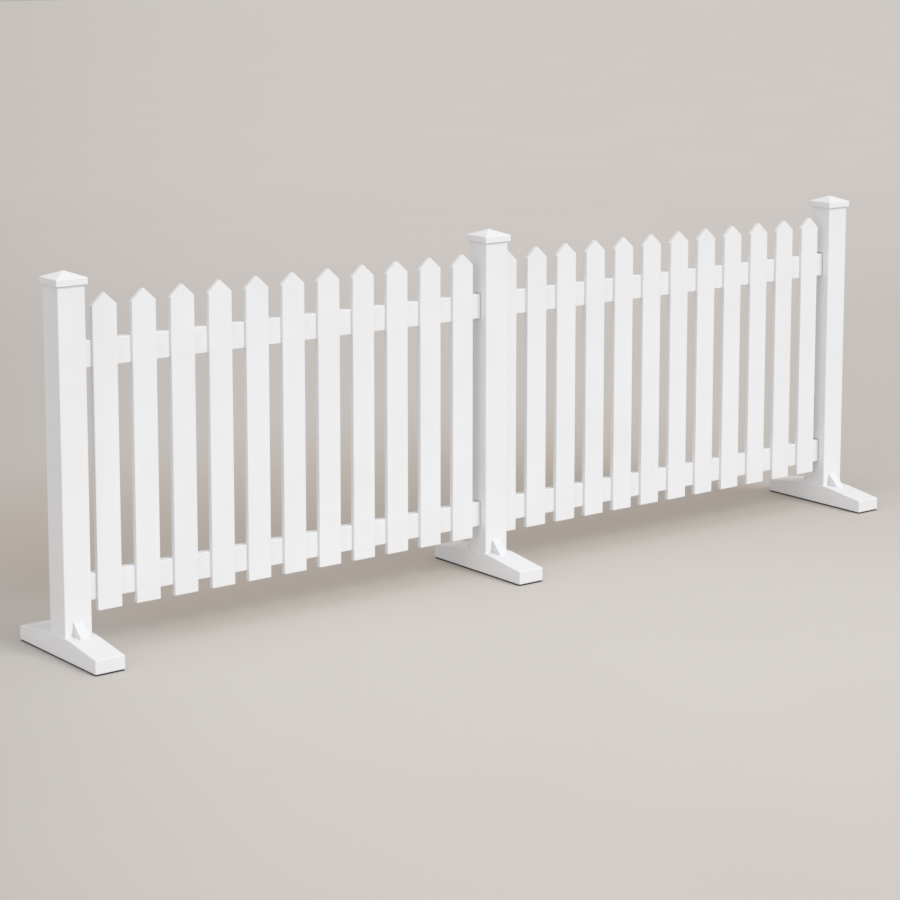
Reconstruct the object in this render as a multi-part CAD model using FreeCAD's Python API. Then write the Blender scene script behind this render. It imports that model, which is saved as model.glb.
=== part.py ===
import FreeCAD, Part
import math
import os

# Free-standing picket fence of two bays. All sizes are in millimetres.
# The fence runs along X, its pickets face -Y and it stands on the ground at Z = 0.
# The origin is on the ground, halfway along the fence and halfway through its depth.

# Bays, from post centre to post centre
LEFT_BAY_SPAN = 1750.0
RIGHT_BAY_SPAN = 1785.0

# Posts
POST_SIDE = 100.0
POST_CORNER_RADIUS = 3.0
POST_RISE_OVER_PICKETS = 35.0  # from the picket tips up to the underside of the caps

# Caps, each a square band with a low pyramid, hollowed to slip over the post
CAP_OVERHANG = 8.0
CAP_BAND_HEIGHT = 23.0
CAP_PYRAMID_RISE = 22.0
CAP_TIP_SIDE = 3.0
CAP_EASE = 1.5  # bevel along the rim and the eaves
CAP_CORNER_BEVEL = 3.0
CAP_POCKET_DEPTH = 12.0
CAP_CLEARANCE = 0.5

# Feet, each a beam that crosses under a post, with a rounded crown and tapered arms
FOOT_LEDGE = 5.0  # how far the foot stands out past each side of the post
FOOT_REACH = 204.0  # how far each arm runs past the post
FOOT_END_HEIGHT = 52.0
FOOT_CROWN_HEIGHT = 78.0
FOOT_CROWN_RADIUS = 320.0
FOOT_EDGE_BEVEL = 3.0

# Braces, each a triangular block in the corner between a post and its foot
BRACE_THICKNESS = 38.0
BRACE_HEIGHT = 49.0
BRACE_REACH = 45.0
BRACE_TOE = 4.0
BRACE_EDGE_BEVEL = 2.0

# Rails, let into sockets in the posts
RAIL_HEIGHT = 91.0
RAIL_THICKNESS = 35.0
RAIL_CORNER_RADIUS = 4.0
LOWER_RAIL_RISE = 37.0  # from the bottom of the pickets up to the lower rail
UPPER_RAIL_DROP = 113.0  # from the shoulders of the pickets down to the upper rail
SOCKET_DEPTH = 26.0
SOCKET_CLEARANCE = 2.0  # round the rail's sides, top and end; its underside rests

# Pickets, let into housings across the front of the rails
PICKET_WIDTH = 92.0
PICKET_THICKNESS = 20.0
PICKET_SIDE_LENGTH = 1017.0  # from the bottom up to the shoulders
PICKET_POINT_HEIGHT = 41.0
PICKET_GROUND_GAP = 140.0
PICKET_EDGE_BEVEL = 2.0
PICKET_TRIM_CLEARANCE = 0.5  # between the post and the picket that is cut down beside it
HOUSING_DEPTH = 10.0
HOUSING_CLEARANCE = 0.5  # beside the picket, whose back rests on the housing's floor

# Spacing of the pickets, from the post that a bay starts at to the post that ends it.
# A negative start is the width that the first picket loses at the post.
LEFT_BAY_PICKETS = 11
LEFT_BAY_START = 37.0
LEFT_BAY_END = 43.0
RIGHT_BAY_PICKETS = 12
RIGHT_BAY_START = -30.0
RIGHT_BAY_END = 41.0

# Places worked out from the sizes above
LEFT_POST_X = -(LEFT_BAY_SPAN + RIGHT_BAY_SPAN) / 2
MIDDLE_POST_X = LEFT_POST_X + LEFT_BAY_SPAN
RIGHT_POST_X = MIDDLE_POST_X + RIGHT_BAY_SPAN
POST_HALF = POST_SIDE / 2

SHOULDER_Z = PICKET_GROUND_GAP + PICKET_SIDE_LENGTH
TIP_Z = SHOULDER_Z + PICKET_POINT_HEIGHT
CAP_Z = TIP_Z + POST_RISE_OVER_PICKETS
POST_TOP_Z = CAP_Z + CAP_POCKET_DEPTH

LOWER_RAIL_Z = PICKET_GROUND_GAP + LOWER_RAIL_RISE
UPPER_RAIL_Z = SHOULDER_Z - UPPER_RAIL_DROP - RAIL_HEIGHT
RAIL_LEVELS = {"top": UPPER_RAIL_Z, "bottom": LOWER_RAIL_Z}
RAIL_FRONT_Y = -RAIL_THICKNESS / 2
PICKET_BACK_Y = RAIL_FRONT_Y + HOUSING_DEPTH
PICKET_FRONT_Y = PICKET_BACK_Y - PICKET_THICKNESS

# The posts, with the sides on which rails enter them
POSTS = {
    "left": (LEFT_POST_X, (1,)),
    "middle": (MIDDLE_POST_X, (-1, 1)),
    "right": (RIGHT_POST_X, (-1,)),
}

# The bays, each with its two post centres, its number of pickets, its start and its end
BAYS = {
    "left": (LEFT_POST_X, MIDDLE_POST_X, LEFT_BAY_PICKETS, LEFT_BAY_START, LEFT_BAY_END),
    "right": (MIDDLE_POST_X, RIGHT_POST_X, RIGHT_BAY_PICKETS, RIGHT_BAY_START, RIGHT_BAY_END),
}

SAME = 1e-6


def vec(x, y, z):
    return FreeCAD.Vector(x, y, z)


def box(x_range, y_range, z_range):
    """A block between pairs of coordinates."""
    corner = vec(x_range[0], y_range[0], z_range[0])
    return Part.makeBox(
        x_range[1] - x_range[0],
        y_range[1] - y_range[0],
        z_range[1] - z_range[0],
        corner,
    )


def runs_along(edge, axis):
    """True for a straight edge that is parallel to one axis, named x, y or z."""
    start, end = edge.Vertexes[0].Point, edge.Vertexes[-1].Point
    others = [name for name in "xyz" if name != axis]
    return all(abs(getattr(start, name) - getattr(end, name)) < SAME for name in others)


def square_post(centre_x, side, z_range, radius):
    """An upright square prism on the fence's centre line, with its corners rounded."""
    half = side / 2
    solid = box((centre_x - half, centre_x + half), (-half, half), z_range)
    upright = [edge for edge in solid.Edges if runs_along(edge, "z")]
    return solid.makeFillet(radius, upright)


def rail_bar(x_range, z_bottom, grow, rise):
    """A bar along X with rounded corners, grown sideways by grow and upwards by rise."""
    half = RAIL_THICKNESS / 2 + grow
    solid = box(x_range, (-half, half), (z_bottom, z_bottom + RAIL_HEIGHT + rise))
    along = [edge for edge in solid.Edges if runs_along(edge, "x")]
    return solid.makeFillet(RAIL_CORNER_RADIUS + grow, along)


def make_post(centre_x, rail_sides):
    """A post that stands on its foot's crown, with blind sockets for the rails."""
    post = square_post(centre_x, POST_SIDE, (FOOT_CROWN_HEIGHT, POST_TOP_Z), POST_CORNER_RADIUS)
    for side in rail_sides:
        face_x = centre_x + side * POST_HALF
        floor_x = face_x - side * SOCKET_DEPTH
        mouth_x = face_x + side * SOCKET_CLEARANCE
        x_range = (min(floor_x, mouth_x), max(floor_x, mouth_x))
        for z_bottom in RAIL_LEVELS.values():
            post = post.cut(rail_bar(x_range, z_bottom, SOCKET_CLEARANCE, SOCKET_CLEARANCE))
    return post


def bevelled_square(centre_x, side, bevel, z):
    """The corners of a level square whose own corners are cut off."""
    half = side / 2
    flat = half - bevel
    corners = [
        (half, -flat), (half, flat), (flat, half), (-flat, half),
        (-half, flat), (-half, -flat), (-flat, -half), (flat, -half),
    ]
    return [vec(centre_x + x, y, z) for x, y in corners]


def flat_face(points):
    return Part.Face(Part.makePolygon(points + points[:1]))


def stacked_solid(sections):
    """A solid through level sections that have the same number of corners."""
    faces = [flat_face(sections[0]), flat_face(sections[-1])]
    for lower, upper in zip(sections, sections[1:]):
        for place in range(len(lower)):
            nearby = (place + 1) % len(lower)
            faces.append(flat_face([lower[place], lower[nearby], upper[nearby], upper[place]]))
    return Part.Solid(Part.Shell(faces))


def make_cap(centre_x):
    """A cap with a bevelled rim, a band, eaves and a low pyramid, and a pocket for the post."""
    side = POST_SIDE + 2 * CAP_OVERHANG
    rim_side = side - 2 * CAP_EASE
    eaves_z = CAP_Z + CAP_BAND_HEIGHT
    levels = [
        (rim_side, CAP_CORNER_BEVEL, CAP_Z),
        (side, CAP_CORNER_BEVEL, CAP_Z + CAP_EASE),
        (side, CAP_CORNER_BEVEL, eaves_z - CAP_EASE),
        (rim_side, CAP_CORNER_BEVEL, eaves_z),
        (CAP_TIP_SIDE, CAP_TIP_SIDE / 4, eaves_z + CAP_PYRAMID_RISE),
    ]
    block = stacked_solid([bevelled_square(centre_x, *level) for level in levels])
    pocket = square_post(
        centre_x,
        POST_SIDE + 2 * CAP_CLEARANCE,
        (CAP_Z - CAP_POCKET_DEPTH, POST_TOP_Z),
        POST_CORNER_RADIUS,
    )
    return block.cut(pocket)


def foot_arm(direction):
    """Half of the foot's top line: the end point, the point where the taper meets the
    crown's arc, the arc's middle and its start beside the post, in Y and Z."""
    seat_y = POST_HALF
    end_y = POST_HALF + FOOT_REACH
    centre_z = FOOT_CROWN_HEIGHT - FOOT_CROWN_RADIUS
    run = end_y - seat_y
    drop = FOOT_END_HEIGHT - centre_z
    distance = math.hypot(run, drop)
    bearing = math.atan2(run, drop)
    swing = bearing - math.acos(FOOT_CROWN_RADIUS / distance)

    def on_arc(angle):
        y = seat_y + FOOT_CROWN_RADIUS * math.sin(angle)
        return vec(0, direction * y, centre_z + FOOT_CROWN_RADIUS * math.cos(angle))

    end = vec(0, direction * end_y, FOOT_END_HEIGHT)
    return end, on_arc(swing), on_arc(swing / 2), on_arc(0)


def make_foot(centre_x):
    """A foot: its side outline drawn with straight tapers and arcs, then drawn out along X."""
    back_end, back_tangent, back_middle, back_seat = foot_arm(1)
    front_end, front_tangent, front_middle, front_seat = foot_arm(-1)
    back_toe = vec(0, back_end.y, 0)
    front_toe = vec(0, front_end.y, 0)
    outline = Part.Wire([
        Part.makeLine(front_toe, back_toe),
        Part.makeLine(back_toe, back_end),
        Part.makeLine(back_end, back_tangent),
        Part.Arc(back_tangent, back_middle, back_seat).toShape(),
        Part.makeLine(back_seat, front_seat),
        Part.Arc(front_seat, front_middle, front_tangent).toShape(),
        Part.makeLine(front_tangent, front_end),
        Part.makeLine(front_end, front_toe),
    ])
    width = POST_SIDE + 2 * FOOT_LEDGE
    outline.translate(vec(centre_x - width / 2, 0, 0))
    solid = Part.Face(outline).extrude(vec(width, 0, 0))
    raised = [edge for edge in solid.Edges if edge.BoundBox.ZMax > SAME]
    outer = [edge for edge in raised if edge.BoundBox.XLength < SAME or is_nose(edge, back_end.y)]
    return solid.makeChamfer(FOOT_EDGE_BEVEL, outer)


def is_nose(edge, end_y):
    """True for the level edge along the top of either end of a foot."""
    return runs_along(edge, "x") and abs(abs(edge.CenterOfMass.y) - end_y) < SAME


def make_brace(centre_x, direction, foot):
    """A triangular block against the post's face, its base cut to the curve of the crown."""
    face_y = POST_HALF
    base_z = FOOT_END_HEIGHT
    toe_z = FOOT_CROWN_HEIGHT + BRACE_TOE
    tip_z = FOOT_CROWN_HEIGHT + BRACE_HEIGHT
    corners = [
        (face_y, base_z),
        (face_y + BRACE_REACH, base_z),
        (face_y + BRACE_REACH, toe_z),
        (face_y, tip_z),
    ]
    left_x = centre_x - BRACE_THICKNESS / 2
    points = [vec(left_x, direction * y, z) for y, z in corners]
    block = flat_face(points).extrude(vec(BRACE_THICKNESS, 0, 0))
    sloping = [edge for edge in block.Edges if is_sloping(edge)]
    return block.makeChamfer(BRACE_EDGE_BEVEL, sloping).cut(foot)


def is_sloping(edge):
    """True for an edge that climbs and runs in depth at once."""
    return edge.BoundBox.YLength > SAME and edge.BoundBox.ZLength > SAME


def make_rail(left_post_x, right_post_x, z_bottom, seats):
    """A rail from the socket in one post to the socket in the next, with a housing across
    its front at each seat, the stretch of X that a picket covers."""
    let_in = SOCKET_DEPTH - SOCKET_CLEARANCE
    left_x = left_post_x + POST_HALF - let_in
    right_x = right_post_x - POST_HALF + let_in
    rail = rail_bar((left_x, right_x), z_bottom, 0.0, 0.0)
    for seat_left, seat_right in seats:
        x_range = (seat_left - HOUSING_CLEARANCE, seat_right + HOUSING_CLEARANCE)
        z_range = (z_bottom, z_bottom + RAIL_HEIGHT)
        rail = rail.cut(box(x_range, (RAIL_FRONT_Y, PICKET_BACK_Y), z_range))
    return rail


def make_picket(left_x, trim_x):
    """A pointed picket whose full width starts at left_x, cut off left of trim_x."""
    right_x = left_x + PICKET_WIDTH
    tip_x = left_x + PICKET_WIDTH / 2
    slope = PICKET_POINT_HEIGHT / (PICKET_WIDTH / 2)
    start_x = max(left_x, trim_x)
    start_z = TIP_Z - slope * abs(tip_x - start_x)
    outline = [(start_x, PICKET_GROUND_GAP), (right_x, PICKET_GROUND_GAP), (right_x, SHOULDER_Z)]
    if start_x < tip_x:
        outline.append((tip_x, TIP_Z))
    outline.append((start_x, start_z))
    points = [vec(x, PICKET_FRONT_Y, z) for x, z in outline]
    board = flat_face(points).extrude(vec(0, PICKET_THICKNESS, 0))
    rims = [edge for edge in board.Edges if edge.BoundBox.YLength < SAME]
    return board.makeChamfer(PICKET_EDGE_BEVEL, rims)


def picket_starts(left_post_x, right_post_x, count, start, end):
    """The left edges of a bay's pickets, which are evenly spaced between start and end."""
    first_x = left_post_x + POST_HALF + start
    last_x = right_post_x - POST_HALF - end - PICKET_WIDTH
    pitch = (last_x - first_x) / (count - 1)
    return [first_x + pitch * place for place in range(count)]


def save(name, shape):
    shape.exportStep(os.path.join("parts", name + ".step"))


def main():
    os.makedirs("parts", exist_ok=True)

    for name, (centre_x, rail_sides) in POSTS.items():
        foot = make_foot(centre_x)
        save(name + "_post", make_post(centre_x, rail_sides))
        save(name + "_post_cap", make_cap(centre_x))
        save(name + "_foot", foot)
        save(name + "_front_brace", make_brace(centre_x, -1, foot))
        save(name + "_back_brace", make_brace(centre_x, 1, foot))

    for name, (left_post_x, right_post_x, count, start, end) in BAYS.items():
        trim_x = left_post_x + POST_HALF + PICKET_TRIM_CLEARANCE
        lefts = picket_starts(left_post_x, right_post_x, count, start, end)
        seats = [(max(left_x, trim_x), left_x + PICKET_WIDTH) for left_x in lefts]
        for level, z_bottom in RAIL_LEVELS.items():
            rail = make_rail(left_post_x, right_post_x, z_bottom, seats)
            save(f"{name}_{level}_rail", rail)
        for number, left_x in enumerate(lefts, 1):
            save(f"{name}_picket_{number:02d}", make_picket(left_x, trim_x))


main()
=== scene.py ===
import math

import bmesh
import bpy
from bpy.props import FloatProperty, FloatVectorProperty, IntProperty, PointerProperty
from bpy.types import Operator, Panel, PropertyGroup
from mathutils import Matrix, Vector


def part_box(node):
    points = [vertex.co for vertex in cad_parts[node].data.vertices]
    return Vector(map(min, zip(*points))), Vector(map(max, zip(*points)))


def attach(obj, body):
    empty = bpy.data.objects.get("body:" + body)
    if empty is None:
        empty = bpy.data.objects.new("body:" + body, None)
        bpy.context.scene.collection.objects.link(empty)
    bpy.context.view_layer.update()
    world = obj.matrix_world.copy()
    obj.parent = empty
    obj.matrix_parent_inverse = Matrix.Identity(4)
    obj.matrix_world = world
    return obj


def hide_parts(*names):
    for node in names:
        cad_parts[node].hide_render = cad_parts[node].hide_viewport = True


bl_info = {
    "name": "Picket Fence Panel",
    "version": (1, 0, 0),
    "blender": (4, 5, 0),
    "location": "View3D > Sidebar > Fence",
    "description": "Dresses the picket fence panel in painted boards and lights it in a plain studio",
    "category": "Add Mesh",
}

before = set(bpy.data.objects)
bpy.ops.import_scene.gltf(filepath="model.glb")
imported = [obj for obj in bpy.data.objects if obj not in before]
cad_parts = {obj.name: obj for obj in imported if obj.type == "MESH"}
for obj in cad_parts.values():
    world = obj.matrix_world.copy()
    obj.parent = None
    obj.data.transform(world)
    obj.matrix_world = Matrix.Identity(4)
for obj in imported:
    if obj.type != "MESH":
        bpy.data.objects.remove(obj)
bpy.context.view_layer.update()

# The fence's one body, and its nodes by name
BODY = "root"
POSTS = ("left", "middle", "right")
BAYS = ("left", "right")
RAIL_LEVELS = ("top", "bottom")
PICKETS = {
    bay: sorted(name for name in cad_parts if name.startswith(bay + "_picket_"))
    for bay in BAYS
}

# Places closer together than this, in metres, count as one
TOUCHING = 1e-5


# Sizes read from the frame

def span(node, axis):
    """A node's lowest and highest coordinate along an axis, 0 for X, 1 for Y and 2 for Z."""
    low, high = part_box(node)
    return low[axis], high[axis]


def shoulder_height(node):
    """The top of a picket's right-hand side, where its point starts."""
    right = span(node, 0)[1]
    corners = (vertex.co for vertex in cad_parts[node].data.vertices)
    return max(corner.z for corner in corners if abs(corner.x - right) < TOUCHING)


PICKET_WIDTH = max(high - low for low, high in (span(name, 0) for name in PICKETS["left"]))


# Settings that a user would change

class FenceShape(PropertyGroup):
    board_edge: FloatProperty(
        name="Board edge", description="Radius along the edges of pickets and braces",
        default=0.0024, min=0.0005, max=0.006, unit="LENGTH",
    )
    rail_edge: FloatProperty(
        name="Rail edge", description="Radius along the long edges of a rail",
        default=0.004, min=0.0005, max=0.01, unit="LENGTH",
    )
    cap_edge: FloatProperty(
        name="Cap edge", description="Radius round the rim, eaves and ridges of a cap",
        default=0.0018, min=0.0005, max=0.004, unit="LENGTH",
    )
    foot_edge: FloatProperty(
        name="Foot edge", description="Radius along the upper edges of a foot",
        default=0.0036, min=0.0005, max=0.01, unit="LENGTH",
    )
    foot_end: FloatProperty(
        name="Foot end", description="Height of a foot at its two ends",
        default=0.052, min=0.02, max=0.07, unit="LENGTH",
    )
    crown_radius: FloatProperty(
        name="Crown radius", description="Radius of the arc from a foot's seat to its taper",
        default=0.320, min=0.1, max=1.0, unit="LENGTH",
    )
    band_height: FloatProperty(
        name="Cap band", description="Height of the upright band round a cap",
        default=0.023, min=0.01, max=0.04, unit="LENGTH",
    )
    joint_play: FloatProperty(
        name="Joint play", description="Clearance that the paint leaves open at caps and housings",
        default=0.0001, min=0.0, max=0.003, unit="LENGTH",
    )
    brace_toe: FloatProperty(
        name="Brace toe", description="Height of a brace's blunt toe over the foot's seat",
        default=0.004, min=0.001, max=0.01, unit="LENGTH",
    )
    sole_height: FloatProperty(
        name="Sole height", description="Height of the dark sole under a foot",
        default=0.006, min=0.001, max=0.01, unit="LENGTH",
    )
    sole_inset: FloatProperty(
        name="Sole inset", description="How far the sole is set back from the foot's sides",
        default=0.003, min=0.001, max=0.03, unit="LENGTH",
    )
    edge_steps: IntProperty(
        name="Edge steps", description="Number of facets across each rounded edge",
        default=3, min=1, max=8,
    )


class FencePaint(PropertyGroup):
    paint: FloatVectorProperty(
        name="Paint", description="Colour of the satin white paint",
        default=(0.843, 0.853, 0.873), min=0.0, max=1.0, size=3, subtype="COLOR",
    )
    gloss_roughness: FloatProperty(
        name="Roughness", description="Roughness of the dry satin film",
        default=0.45, min=0.05, max=1.0, subtype="FACTOR",
    )
    grain_depth: FloatProperty(
        name="Grain depth", description="How deep the timber's grain shows through the paint",
        default=0.00025, min=0.0, max=0.002, unit="LENGTH",
    )


class FenceStudio(PropertyGroup):
    # Floor colour inside the painted pool of light
    floor: FloatVectorProperty(
        name="Floor", description="Colour of the plain studio floor near the fence",
        default=(0.747, 0.720, 0.702), min=0.0, max=1.0, size=3, subtype="COLOR",
    )
    # Floor colour outside the painted pool of light
    far_floor: FloatVectorProperty(
        name="Far floor", description="Colour of the studio floor well away from the fence",
        default=(0.620, 0.589, 0.569), min=0.0, max=1.0, size=3, subtype="COLOR",
    )
    # Painted shadow: the floor's colour in the darker band behind the fence
    painted_shadow_floor: FloatVectorProperty(
        name="Back floor", description="Colour of the studio floor behind the fence",
        default=(0.563, 0.532, 0.508), min=0.0, max=1.0, size=3, subtype="COLOR",
    )
    backdrop: FloatVectorProperty(
        name="Backdrop", description="Colour that the camera sees above the horizon",
        default=(0.485, 0.462, 0.440), min=0.0, max=1.0, size=3, subtype="COLOR",
    )
    sky_strength: FloatProperty(
        name="Sky", description="Strength of the even light from all round",
        default=0.70, min=0.0, max=2.0,
    )
    sky_colour: FloatVectorProperty(
        name="Sky colour", description="Tint of the even light from all round",
        default=(1.0, 0.985, 0.965), min=0.0, max=1.0, size=3, subtype="COLOR",
    )
    key_strength: FloatProperty(
        name="Key", description="Strength of the broad lamp in front of the fence",
        default=1.40, min=0.0, max=10.0,
    )
    fill_strength: FloatProperty(
        name="Fill", description="Strength of the weak lamp at the left",
        default=0.34, min=0.0, max=10.0,
    )
    key_softness: FloatProperty(
        name="Softness", description="Angle that each lamp fills, seen from the fence",
        default=math.radians(32), min=0.0, max=math.pi, unit="ROTATION",
    )


# Shader building

# A Mix node's sockets for its two colours, and its output for the result
MIX_FIRST = 6
MIX_SECOND = 7
MIX_RESULT = 2


class Signal:
    """A shader socket that adds Math nodes when it is used in arithmetic."""

    def __init__(self, tree, socket):
        self.tree = tree
        self.socket = socket

    def _math(self, operation, first, second):
        node = self.tree.nodes.new("ShaderNodeMath")
        node.operation = operation
        for socket, value in zip(node.inputs, (first, second)):
            connect(self.tree, socket, value)
        return Signal(self.tree, node.outputs[0])

    def __add__(self, other):
        return self._math("ADD", self, other)

    def __radd__(self, other):
        return self._math("ADD", other, self)

    def __sub__(self, other):
        return self._math("SUBTRACT", self, other)

    def __rsub__(self, other):
        return self._math("SUBTRACT", other, self)

    def __mul__(self, other):
        return self._math("MULTIPLY", self, other)

    def __rmul__(self, other):
        return self._math("MULTIPLY", other, self)


def connect(tree, socket, value):
    if isinstance(value, Signal):
        tree.links.new(value.socket, socket)
    else:
        socket.default_value = value


class Finish:
    """A material or world being built: its tree, and one method that adds a node to it."""

    def __init__(self, owner):
        self.owner = owner
        self.owner.use_nodes = True
        self.tree = self.owner.node_tree
        self.tree.nodes.clear()

    def add(self, kind, settings=(), inputs=(), output=0):
        """Adds a node of a kind, sets it up, feeds its sockets and returns one output."""
        node = self.tree.nodes.new("ShaderNode" + kind)
        for name, value in dict(settings).items():
            setattr(node, name, value)
        for name, value in dict(inputs).items():
            connect(self.tree, node.inputs[name], value)
        return Signal(self.tree, node.outputs[output]) if node.outputs else None

    def close(self, shader, kind="OutputMaterial"):
        self.add(kind, inputs={"Surface": shader})
        return self.owner


def measure(finish, operation, first, second, output="Value"):
    """A Vector Math node on two vectors."""
    return finish.add(
        "VectorMath", settings={"operation": operation},
        inputs={0: first, 1: second}, output=output,
    )


def fade(finish, value, start, end):
    """A smooth rise from 0 at the start to 1 at the end."""
    return finish.add(
        "MapRange",
        settings={"interpolation_type": "SMOOTHERSTEP"},
        inputs={"Value": value, "From Min": start, "From Max": end},
    )


def blend_colours(finish, factor, first, second):
    """One colour turning into another; either may be a plain colour or a signal."""
    first, second = (
        value if isinstance(value, Signal) else (*value, 1.0) for value in (first, second)
    )
    return finish.add(
        "Mix",
        settings={"data_type": "RGBA", "clamp_factor": True},
        inputs={0: factor, MIX_FIRST: first, MIX_SECOND: second},
        output=MIX_RESULT,
    )


# How coarse the grain is along and across a board
ALONG_GRAIN = 5.0
ACROSS_GRAIN = 170.0
AXES = {"x": (1.0, 0.0, 0.0), "y": (0.0, 1.0, 0.0), "z": (0.0, 0.0, 1.0)}
GRAIN_SCALES = {
    name: tuple(ALONG_GRAIN if part else ACROSS_GRAIN for part in axis)
    for name, axis in AXES.items()
}

# How far clouds, grain and end grain thin the film of paint, and how much darker a thin film is
CLOUD_SHARE = 0.6
GRAIN_SHARE = 0.4
END_GRAIN_SHARE = 0.12
TONE_RANGE = (0.35, 0.6)
THIN_FILM = 0.975

# How squarely a face has to cross the grain to count as end grain
END_GRAIN_FACING = (0.7, 0.95)

# How far the roughness varies, and how much each pattern stands out in relief
ROUGHNESS_SPREAD = 0.06
END_GRAIN_ROUGHNESS = 0.14
GRAIN_RELIEF = 0.75
BRUSH_RELIEF = 0.25
END_GRAIN_RELIEF = 0.8
PEEL_RELIEF = 0.12

# Painted light and shade: the one paint made lighter on the caps and darker on the feet and braces,
# next to the boards'
CAP_PAINTED_LIGHT = 1.01
FOOT_PAINTED_SHADE = 0.985
BRACE_PAINTED_SHADE = 0.95

# The darkest and palest speckles of the near-black sole, which draws a dark line along each foot's
# bottom edge
SOLE_DARK = (0.020, 0.020, 0.021)
SOLE_PALE = (0.045, 0.044, 0.043)
SOLE_ROUGHNESS = 0.8
SPECKLE_ROUGHNESS = 0.1


def satin_paint(name, grain_axis, painted_shading=1.0):
    """White satin paint on timber with its grain along an axis, made lighter by painted light or
    darker by painted shade.
    """
    paint = bpy.context.scene.fence_paint
    finish = Finish(bpy.data.materials.new(name))
    place = finish.add("TexCoord", output="Object")
    stretched = finish.add("Mapping", inputs={"Vector": place, "Scale": GRAIN_SCALES[grain_axis]})
    grain = finish.add(
        "TexNoise", inputs={"Vector": stretched, "Scale": 1.0, "Detail": 5.0, "Roughness": 0.62},
    )
    brush = finish.add(
        "TexNoise", inputs={"Vector": stretched, "Scale": 6.0, "Detail": 2.0, "Roughness": 0.5},
    )
    cloud = finish.add("TexNoise", inputs={"Vector": place, "Scale": 3.5, "Detail": 2.0})
    peel = finish.add("TexNoise", inputs={"Vector": place, "Scale": 520.0, "Detail": 1.0})

    facing = finish.add("NewGeometry", output="Normal")
    across = measure(finish, "DOT_PRODUCT", facing, AXES[grain_axis])
    end_grain = fade(finish, across * across, *END_GRAIN_FACING)

    film = cloud * CLOUD_SHARE + grain * GRAIN_SHARE - end_grain * END_GRAIN_SHARE
    # The paint's colour scaled by the painted light or shade of this kind of piece
    full_film = [value * painted_shading for value in paint.paint]
    thin_film = [value * THIN_FILM for value in full_film]
    colour = blend_colours(finish, fade(finish, film, *TONE_RANGE), thin_film, full_film)
    smoothest = paint.gloss_roughness - ROUGHNESS_SPREAD
    roughness = smoothest + peel * ROUGHNESS_SPREAD + grain * ROUGHNESS_SPREAD
    roughness = roughness + end_grain * END_GRAIN_ROUGHNESS
    board = (1 - end_grain) * (grain * GRAIN_RELIEF + brush * BRUSH_RELIEF)
    height = board + end_grain * peel * END_GRAIN_RELIEF + peel * PEEL_RELIEF
    normal = finish.add(
        "Bump",
        inputs={"Strength": 0.5, "Distance": paint.grain_depth, "Height": height},
    )
    shader = finish.add(
        "BsdfPrincipled",
        inputs={
            "Base Color": colour, "Roughness": roughness, "Normal": normal,
            "IOR": 1.46, "Specular IOR Level": 0.2,
        },
    )
    return finish.close(shader)


def dark_sole():
    """Matt near-black for the set-back sole under a foot, slightly speckled, so that a dark line runs
    along the foot's bottom edge.
    """
    finish = Finish(bpy.data.materials.new("matt_black_sole"))
    place = finish.add("TexCoord", output="Object")
    speckle = finish.add("TexNoise", inputs={"Vector": place, "Scale": 400.0, "Detail": 2.0})
    colour = blend_colours(finish, speckle, SOLE_DARK, SOLE_PALE)
    roughness = SOLE_ROUGHNESS + speckle * SPECKLE_ROUGHNESS
    shader = finish.add("BsdfPrincipled", inputs={"Base Color": colour, "Roughness": roughness})
    return finish.close(shader)


# Mesh building

# Edges that turn by more than these angles are rounded, or shaded as sharp
ROUNDED_ANGLE = math.radians(25)
SHARP_ANGLE = math.radians(40)

# How far broad faces set the shading of narrow ones beside them; at 50 all count the same
BROAD_FACE_WEIGHT = 100

# How closely an edge has to follow an axis, and how many straight pieces an arc has
PARALLEL = 0.9999
FOOT_ARC_STEPS = 10
BRACE_ARC_STEPS = 6


def push_face(solid, face, push):
    """Extrudes a face of a solid along a vector."""
    pushed = bmesh.ops.extrude_face_region(solid, geom=[face])
    moved = [item for item in pushed["geom"] if isinstance(item, bmesh.types.BMVert)]
    bmesh.ops.translate(solid, verts=moved, vec=push)


def outline_solid(points, push):
    """A closed solid: a flat outline of points pushed along a vector."""
    solid = bmesh.new()
    push_face(solid, solid.faces.new([solid.verts.new(point) for point in points]), push)
    bmesh.ops.recalc_face_normals(solid, faces=solid.faces)
    return solid


def lowest_face(solid):
    return min(solid.faces, key=lambda face: face.calc_center_median().z)


def round_edges(solid, edges, radius, steps):
    """Rounds edges to a radius, or to less where their neighbours leave no room for it."""
    bmesh.ops.bevel(
        solid, geom=edges, offset=radius, offset_type="OFFSET", segments=steps,
        profile=0.5, affect="EDGES", clamp_overlap=True,
    )


def along(edge, axis):
    """True for an edge parallel to an axis."""
    direction = (edge.verts[1].co - edge.verts[0].co).normalized()
    return abs(direction[axis]) > PARALLEL


def is_sharp(edge):
    """True for an edge that is to be rounded, and not a step of an arc."""
    return len(edge.link_faces) == 2 and edge.calc_face_angle() > ROUNDED_ANGLE


def place_piece(node, solid, material):
    """Turns a solid into a smooth-shaded piece that stands for its CAD node."""
    name = "painted_" + node
    mesh = bpy.data.meshes.new(name)
    solid.to_mesh(mesh)
    solid.free()
    mesh.polygons.foreach_set("use_smooth", [True] * len(mesh.polygons))
    mesh.set_sharp_from_angle(angle=SHARP_ANGLE)
    mesh.materials.append(material)
    piece = bpy.data.objects.new(name, mesh)
    bpy.context.scene.collection.objects.link(piece)
    even = piece.modifiers.new("even_shading", "WEIGHTED_NORMAL")
    even.weight = BROAD_FACE_WEIGHT
    even.keep_sharp = True
    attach(piece, BODY)
    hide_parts(node)
    return piece


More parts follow.
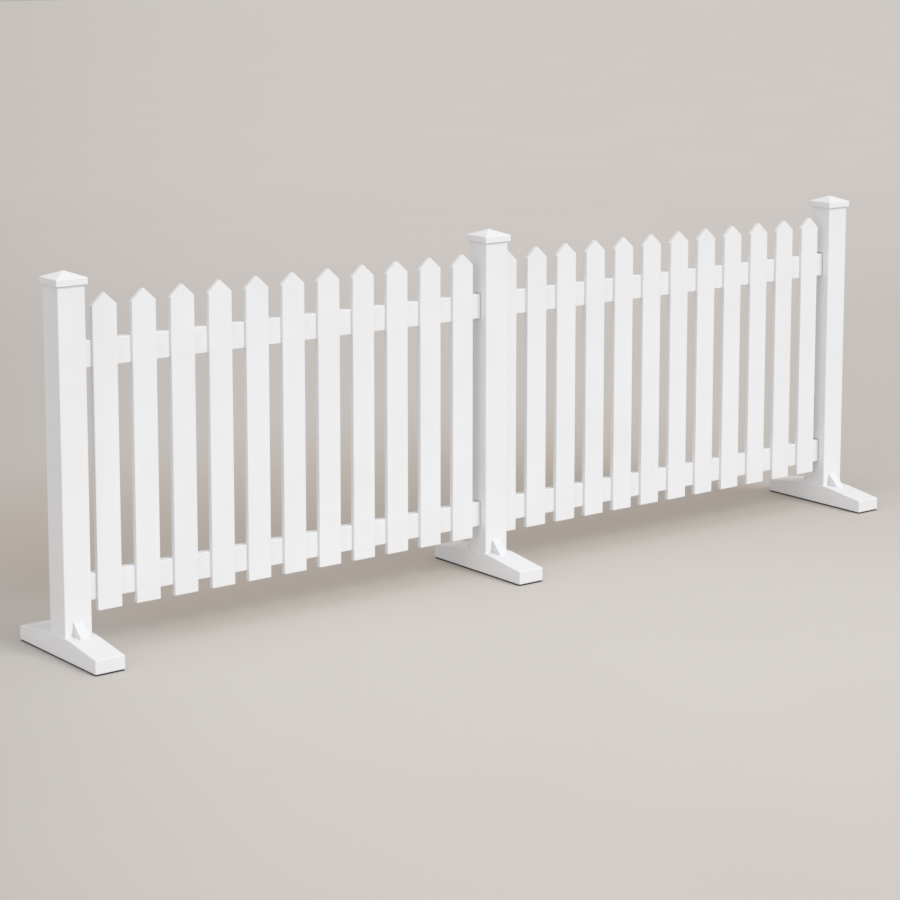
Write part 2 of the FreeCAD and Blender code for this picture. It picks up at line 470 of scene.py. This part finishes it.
def picket_solid(node, shape):
    """A pointed board with every edge rounded, as wide as its CAD node."""
    low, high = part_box(node)
    shoulder = shoulder_height(node)
    tip_x = high.x - PICKET_WIDTH / 2
    slope = (high.z - shoulder) / (PICKET_WIDTH / 2)
    start_z = high.z - slope * abs(tip_x - low.x)
    outline = [
        (low.x, low.y, low.z),
        (high.x, low.y, low.z),
        (high.x, low.y, shoulder),
        (tip_x, low.y, high.z),
        (low.x, low.y, start_z),
    ]
    solid = outline_solid(outline, (0, high.y - low.y, 0))
    round_edges(solid, list(solid.edges), shape.board_edge, shape.edge_steps)
    return solid


def rail_solid(node, shape):
    """A bar with rounded long edges and a housing across its front for each picket."""
    low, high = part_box(node)
    pickets = PICKETS[node.split("_")[0]]
    floor_y = span(pickets[0], 1)[1]
    outline = [(high.x, low.y), (high.x, high.y), (low.x, high.y), (low.x, low.y)]
    for left, right in (span(picket, 0) for picket in pickets):
        left -= shape.joint_play
        right += shape.joint_play
        outline += [(left, low.y), (left, floor_y), (right, floor_y), (right, low.y)]
    solid = outline_solid([(x, y, low.z) for x, y in outline], (0, 0, high.z - low.z))
    outer = [
        edge for edge in solid.edges
        if along(edge, 0) and abs(edge.verts[0].co.y - floor_y) > TOUCHING
    ]
    round_edges(solid, outer, shape.rail_edge, shape.edge_steps + 1)
    return solid


def cap_solid(node, shape):
    """A band with a low pyramid over it and a pocket under it, with rounded edges."""
    low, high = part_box(node)
    middle = (low + high) / 2
    post_low, post_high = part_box(node.replace("_cap", ""))
    half = (high.x - low.x) / 2
    pocket = (post_high.x - post_low.x) / 2 + shape.joint_play
    eaves = low.z + shape.band_height
    solid = bmesh.new()
    rings = []
    for reach, z in ((pocket, post_high.z), (pocket, low.z), (half, low.z), (half, eaves)):
        corners = ((-reach, -reach), (reach, -reach), (reach, reach), (-reach, reach))
        rings.append([solid.verts.new((middle.x + x, middle.y + y, z)) for x, y in corners])
    tip = solid.verts.new((middle.x, middle.y, high.z))
    solid.faces.new(reversed(rings[0]))
    for lower, upper in zip(rings, rings[1:]):
        for side in range(4):
            nearby = (side + 1) % 4
            solid.faces.new((lower[side], lower[nearby], upper[nearby], upper[side]))
    for side in range(4):
        solid.faces.new((rings[-1][side], rings[-1][(side + 1) % 4], tip))
    bmesh.ops.recalc_face_normals(solid, faces=solid.faces)
    outer = [
        edge for edge in solid.edges
        if max(abs(vertex.co.x - middle.x) for vertex in edge.verts) > pocket + TOUCHING
    ]
    round_edges(solid, outer, shape.cap_edge, shape.edge_steps)
    return solid


def foot_outline(high, seat_y, shape):
    """A foot's side outline in Y and Z: a flat underside over the sole, blunt ends,
    straight tapers, and an arc on each side of the flat seat under the post."""
    centre_z = high.z - shape.crown_radius
    run = high.y - seat_y
    drop = shape.foot_end - centre_z
    swing = math.atan2(run, drop) - math.acos(shape.crown_radius / math.hypot(run, drop))
    angles = [swing * step / FOOT_ARC_STEPS for step in range(FOOT_ARC_STEPS + 1)]
    arc = [
        (
            seat_y + shape.crown_radius * math.sin(angle),
            centre_z + shape.crown_radius * math.cos(angle),
        )
        for angle in angles
    ]
    half = [(high.y, shape.sole_height), (high.y, shape.foot_end)] + arc[::-1]
    mirrored = [(-y, z) for y, z in reversed(half)]
    return half + mirrored


def foot_solid(name, shape):
    """A foot with rounded upper edges, on a dark sole set back from its sides."""
    node = name + "_foot"
    low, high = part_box(node)
    seat_y = span(name + "_post", 1)[1]
    outline = [(low.x, y, z) for y, z in foot_outline(high, seat_y, shape)]
    solid = outline_solid(outline, (high.x - low.x, 0, 0))
    bottom = set(lowest_face(solid).edges)
    outer = [
        edge for edge in solid.edges
        if edge not in bottom and (not along(edge, 0) or is_sharp(edge))
    ]
    round_edges(solid, outer, shape.foot_edge, shape.edge_steps + 1)
    underside = lowest_face(solid)
    bmesh.ops.inset_region(solid, faces=[underside], thickness=shape.sole_inset)
    push_face(solid, underside, (0, 0, low.z - shape.sole_height))
    bmesh.ops.delete(solid, geom=[underside], context="FACES_ONLY")
    for face in solid.faces:
        face.material_index = int(face.calc_center_median().z < shape.sole_height + TOUCHING)
    return solid


def brace_solid(node, shape):
    """A triangular block whose base follows the foot's crown."""
    low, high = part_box(node)
    direction = 1 if high.y > 0 else -1
    post_y = min(abs(low.y), abs(high.y))
    reach = high.y - low.y
    seat_z = span(node.split("_")[0] + "_foot", 2)[1]
    centre_z = seat_z - shape.crown_radius
    runs = [reach * step / BRACE_ARC_STEPS for step in range(BRACE_ARC_STEPS + 1)]
    base = [(post_y + run, centre_z + math.sqrt(shape.crown_radius**2 - run**2)) for run in runs]
    corners = base + [(post_y + reach, seat_z + shape.brace_toe), (post_y, high.z)]
    outline = [(low.x, direction * y, z) for y, z in corners]
    solid = outline_solid(outline, (high.x - low.x, 0, 0))
    slope = [
        edge for edge in solid.edges
        if is_sharp(edge) and max(vertex.co.z for vertex in edge.verts) > seat_z + TOUCHING
    ]
    round_edges(solid, slope, shape.board_edge, shape.edge_steps)
    return solid


# Operators, one for each piece or group of like pieces

class FENCE_OT_posts(Operator):
    """Paint the three square posts, which keep their shape from the frame"""

    bl_idname = "fence.posts"
    bl_label = "Posts"

    def execute(self, context):
        material = satin_paint("satin_white_post_paint", "z")
        for name in POSTS:
            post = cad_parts[name + "_post"]
            post.data.materials.clear()
            post.data.materials.append(material)
        return {"FINISHED"}


class FENCE_OT_caps(Operator):
    """Add the pyramid caps on top of the posts"""

    bl_idname = "fence.caps"
    bl_label = "Post caps"

    def execute(self, context):
        shape = context.scene.fence_shape
        # Caps get the paint lightened as painted light
        material = satin_paint("satin_white_cap_paint", "x", CAP_PAINTED_LIGHT)
        for name in POSTS:
            node = name + "_post_cap"
            place_piece(node, cap_solid(node, shape), material)
        return {"FINISHED"}


class FENCE_OT_feet(Operator):
    """Add the three cross feet with their rounded crowns and tapered arms"""

    bl_idname = "fence.feet"
    bl_label = "Feet"

    def execute(self, context):
        shape = context.scene.fence_shape
        # Feet get the paint darkened as painted shade
        material = satin_paint("satin_white_foot_paint", "y", FOOT_PAINTED_SHADE)
        sole = dark_sole()
        for name in POSTS:
            node = name + "_foot"
            foot = place_piece(node, foot_solid(name, shape), material)
            # The set-back sole's faces get the near-black, which draws a dark line under the foot
            foot.data.materials.append(sole)
        return {"FINISHED"}


class FENCE_OT_braces(Operator):
    """Add the triangular braces between the posts and their feet"""

    bl_idname = "fence.braces"
    bl_label = "Braces"

    def execute(self, context):
        shape = context.scene.fence_shape
        # Braces get the paint darkened as painted shade
        material = satin_paint("satin_white_brace_paint", "z", BRACE_PAINTED_SHADE)
        for name in POSTS:
            for side in ("front", "back"):
                node = f"{name}_{side}_brace"
                place_piece(node, brace_solid(node, shape), material)
        return {"FINISHED"}


class FENCE_OT_rails(Operator):
    """Add the rails that run from socket to socket"""

    bl_idname = "fence.rails"
    bl_label = "Rails"

    def execute(self, context):
        shape = context.scene.fence_shape
        material = satin_paint("satin_white_rail_paint", "x")
        for bay in BAYS:
            for level in RAIL_LEVELS:
                node = f"{bay}_{level}_rail"
                place_piece(node, rail_solid(node, shape), material)
        return {"FINISHED"}


class FENCE_OT_pickets(Operator):
    """Add the pointed pickets of both bays"""

    bl_idname = "fence.pickets"
    bl_label = "Pickets"

    def execute(self, context):
        shape = context.scene.fence_shape
        material = satin_paint("satin_white_picket_paint", "z")
        for bay in BAYS:
            for node in PICKETS[bay]:
                place_piece(node, picket_solid(node, shape), material)
        return {"FINISHED"}


# Where the camera stands, and which way it looks, as in the photograph
CAMERA_PLACE = (-5.540, -6.898, 2.386)
CAMERA_TURN = math.radians(37.77)
CAMERA_DIP = math.radians(8.12)
CAMERA_LENS = 97.64
CAMERA_SENSOR = 36.0
CAMERA_SHIFT = -0.2
CAMERA_REACH = 500.0

# Which way the lamps shine
KEY_DIRECTION = Vector((-0.24, 0.75, -0.61))
FILL_DIRECTION = Vector((0.9, 0.3, -0.3))

# The floor's size, and the soft clouds in its colour
FLOOR_HALF = 60.0
FLOOR_SQUARES = 8
CLOUD_MIDDLE = 0.5
CLOUD_STRENGTH = 0.3

# A painted pool of light round the fence, with the distances over which it fades
POOL_CENTRE = (3.4, 2.25, 0.0)
POOL_EDGE = (0.7, 9.4)

# Painted shadow: a darker band behind the fence
BACKWARDS = (0.47, 1.0, 0.0)
BAND_START = (-2.75, 2.25)
BAND_END = (3.8, 17.3)

# A warm painted shadow close behind the fence, and a thin painted shadow right under it
SHADE_LEFT = (-2.0, -1.15)
SHADE_RIGHT = (1.25, 2.85)
SHADE_START = (-0.62, 0.5)
SHADE_END = (1.0, 3.2)
NO_TINT = (1.0, 1.0, 1.0)
SHADE_TINT = (0.945, 0.898, 0.844)
UNDER_START = (-0.135, 0.08)
UNDER_END = (0.08, 0.295)
UNDER_DEPTH = 0.12

# A broad painted beam of light along the floor from the front left, with the floor outside it darker
BEAM_START = (-5.54, -6.9, 0.0)
BEAM_TURN = math.radians(44)
BEAM_AIM = (math.sin(BEAM_TURN), math.cos(BEAM_TURN), 0.0)
BEAM_EDGE = (0.887, 1.010)
BEAM_DEPTH = 0.27
NOTHING = (0.0, 0.0, 0.0)


def camera_matrix():
    """The camera's place and turn: level from side to side, dipped towards the floor."""
    turn = Matrix.Rotation(-CAMERA_TURN, 4, "Z")
    dip = Matrix.Rotation(math.radians(90) - CAMERA_DIP, 4, "X")
    return Matrix.Translation(CAMERA_PLACE) @ turn @ dip


def floor_finish(studio):
    """The studio floor, with painted light and shade graded into its colour from place to place."""
    finish = Finish(bpy.data.materials.new("studio_floor_painted_light_and_shade"))
    place = finish.add("TexCoord", output="Object")
    cloud = finish.add("TexNoise", inputs={"Vector": place, "Scale": 0.9, "Detail": 3.0})
    # Painted pool of light, fading with distance from its centre
    away = fade(finish, measure(finish, "DISTANCE", place, POOL_CENTRE), *POOL_EDGE)
    # Painted shadow in a darker band behind the fence
    depth = measure(finish, "DOT_PRODUCT", place, BACKWARDS)
    behind = fade(finish, depth, *BAND_START) * (1 - fade(finish, depth, *BAND_END))
    # Warm painted shadow close behind the fence, and a thin painted shadow right under it
    x = measure(finish, "DOT_PRODUCT", place, AXES["x"])
    y = measure(finish, "DOT_PRODUCT", place, AXES["y"])
    beside = fade(finish, x, *SHADE_LEFT) * (1 - fade(finish, x, *SHADE_RIGHT))
    painted_shading = beside * fade(finish, y, *SHADE_START) * (1 - fade(finish, y, *SHADE_END))
    under = beside * fade(finish, y, *UNDER_START) * (1 - fade(finish, y, *UNDER_END))
    # Painted beam of light: the floor outside it is darkened
    ray = measure(finish, "SUBTRACT", place, BEAM_START, output="Vector")
    ray = measure(finish, "NORMALIZE", ray, NOTHING, output="Vector")
    outside_painted_beam = 1 - fade(finish, measure(finish, "DOT_PRODUCT", ray, BEAM_AIM), *BEAM_EDGE)

    away = away + (cloud - CLOUD_MIDDLE) * CLOUD_STRENGTH
    # The painted pool of light, then the painted shadow band behind the fence
    colour = blend_colours(finish, away, studio.floor, studio.far_floor)
    colour = blend_colours(finish, behind, colour, studio.painted_shadow_floor)
    # The warm painted shadow, then the painted beam of light and the thin painted shadow under the
    # fence
    tint = blend_colours(finish, painted_shading, NO_TINT, SHADE_TINT)
    colour = measure(finish, "MULTIPLY", colour, tint, output="Vector")
    colour = finish.add(
        "VectorMath",
        settings={"operation": "SCALE"},
        inputs={0: colour, "Scale": (1 - outside_painted_beam * BEAM_DEPTH) * (1 - under * UNDER_DEPTH)},
        output="Vector",
    )
    shader = finish.add("BsdfPrincipled", inputs={"Base Color": colour, "Roughness": 0.9})
    return finish.close(shader)


def add_floor(studio):
    solid = bmesh.new()
    bmesh.ops.create_grid(
        solid, x_segments=FLOOR_SQUARES, y_segments=FLOOR_SQUARES, size=FLOOR_HALF,
    )
    mesh = bpy.data.meshes.new("studio_floor")
    solid.to_mesh(mesh)
    solid.free()
    mesh.materials.append(floor_finish(studio))
    floor = bpy.data.objects.new("studio_floor", mesh)
    bpy.context.scene.collection.objects.link(floor)


def light_world(scene, studio):
    """Even light from all round, with the backdrop's own colour where it is seen."""
    finish = Finish(bpy.data.worlds.new("studio_world"))
    looked_at = finish.add("LightPath", output="Is Camera Ray")
    mirrored = finish.add("LightPath", output="Is Glossy Ray")
    seen_through = finish.add("LightPath", output="Is Transmission Ray")
    sky = finish.add(
        "Background",
        inputs={"Color": (*studio.sky_colour, 1.0), "Strength": studio.sky_strength},
    )
    backdrop = finish.add("Background", inputs={"Color": (*studio.backdrop, 1.0)})
    seen = finish.add(
        "MixShader", inputs={0: looked_at + mirrored + seen_through, 1: sky, 2: backdrop},
    )
    scene.world = finish.close(seen, "OutputWorld")


def add_lamp(scene, name, strength, softness, direction):
    """A broad lamp that shines along a direction."""
    light = bpy.data.lights.new(name, "SUN")
    light.energy = strength
    light.angle = softness
    lamp = bpy.data.objects.new(name, light)
    lamp.rotation_euler = direction.to_track_quat("-Z", "Y").to_euler()
    scene.collection.objects.link(lamp)


def add_camera(scene):
    view = bpy.data.cameras.new("photo_camera")
    view.lens = CAMERA_LENS
    view.sensor_width = CAMERA_SENSOR
    view.shift_y = CAMERA_SHIFT
    view.clip_end = CAMERA_REACH
    camera = bpy.data.objects.new("photo_camera", view)
    camera.matrix_world = camera_matrix()
    scene.collection.objects.link(camera)
    scene.camera = camera


class FENCE_OT_studio(Operator):
    """Add the floor with its painted light and shade, the soft light and the camera"""

    bl_idname = "fence.studio"
    bl_label = "Studio"

    def execute(self, context):
        scene = context.scene
        studio = scene.fence_studio
        scene.view_settings.view_transform = "Standard"
        add_floor(studio)
        light_world(scene, studio)
        add_lamp(scene, "key_light", studio.key_strength, studio.key_softness, KEY_DIRECTION)
        add_lamp(scene, "fill_light", studio.fill_strength, studio.key_softness, FILL_DIRECTION)
        add_camera(scene)
        return {"FINISHED"}


class FENCE_PT_panel(Panel):
    """Sidebar panel with the steps that build the fence"""

    bl_idname = "FENCE_PT_panel"
    bl_label = "Picket Fence"
    bl_space_type = "VIEW_3D"
    bl_region_type = "UI"
    bl_category = "Fence"

    def draw(self, context):
        for operator in OPERATORS:
            self.layout.operator(operator.bl_idname)


OPERATORS = (
    FENCE_OT_posts,
    FENCE_OT_caps,
    FENCE_OT_feet,
    FENCE_OT_braces,
    FENCE_OT_rails,
    FENCE_OT_pickets,
    FENCE_OT_studio,
)
SETTINGS = {"fence_shape": FenceShape, "fence_paint": FencePaint, "fence_studio": FenceStudio}


def register():
    for cls in (*SETTINGS.values(), *OPERATORS, FENCE_PT_panel):
        bpy.utils.register_class(cls)
    for name, group in SETTINGS.items():
        setattr(bpy.types.Scene, name, PointerProperty(type=group))


def unregister():
    for name in SETTINGS:
        delattr(bpy.types.Scene, name)
    for cls in (FENCE_PT_panel, *reversed(OPERATORS), *SETTINGS.values()):
        bpy.utils.unregister_class(cls)


def main():
    register()
    bpy.ops.fence.posts()
    bpy.ops.fence.caps()
    bpy.ops.fence.feet()
    bpy.ops.fence.braces()
    bpy.ops.fence.rails()
    bpy.ops.fence.pickets()
    bpy.ops.fence.studio()


if __name__ == "__main__":
    main()
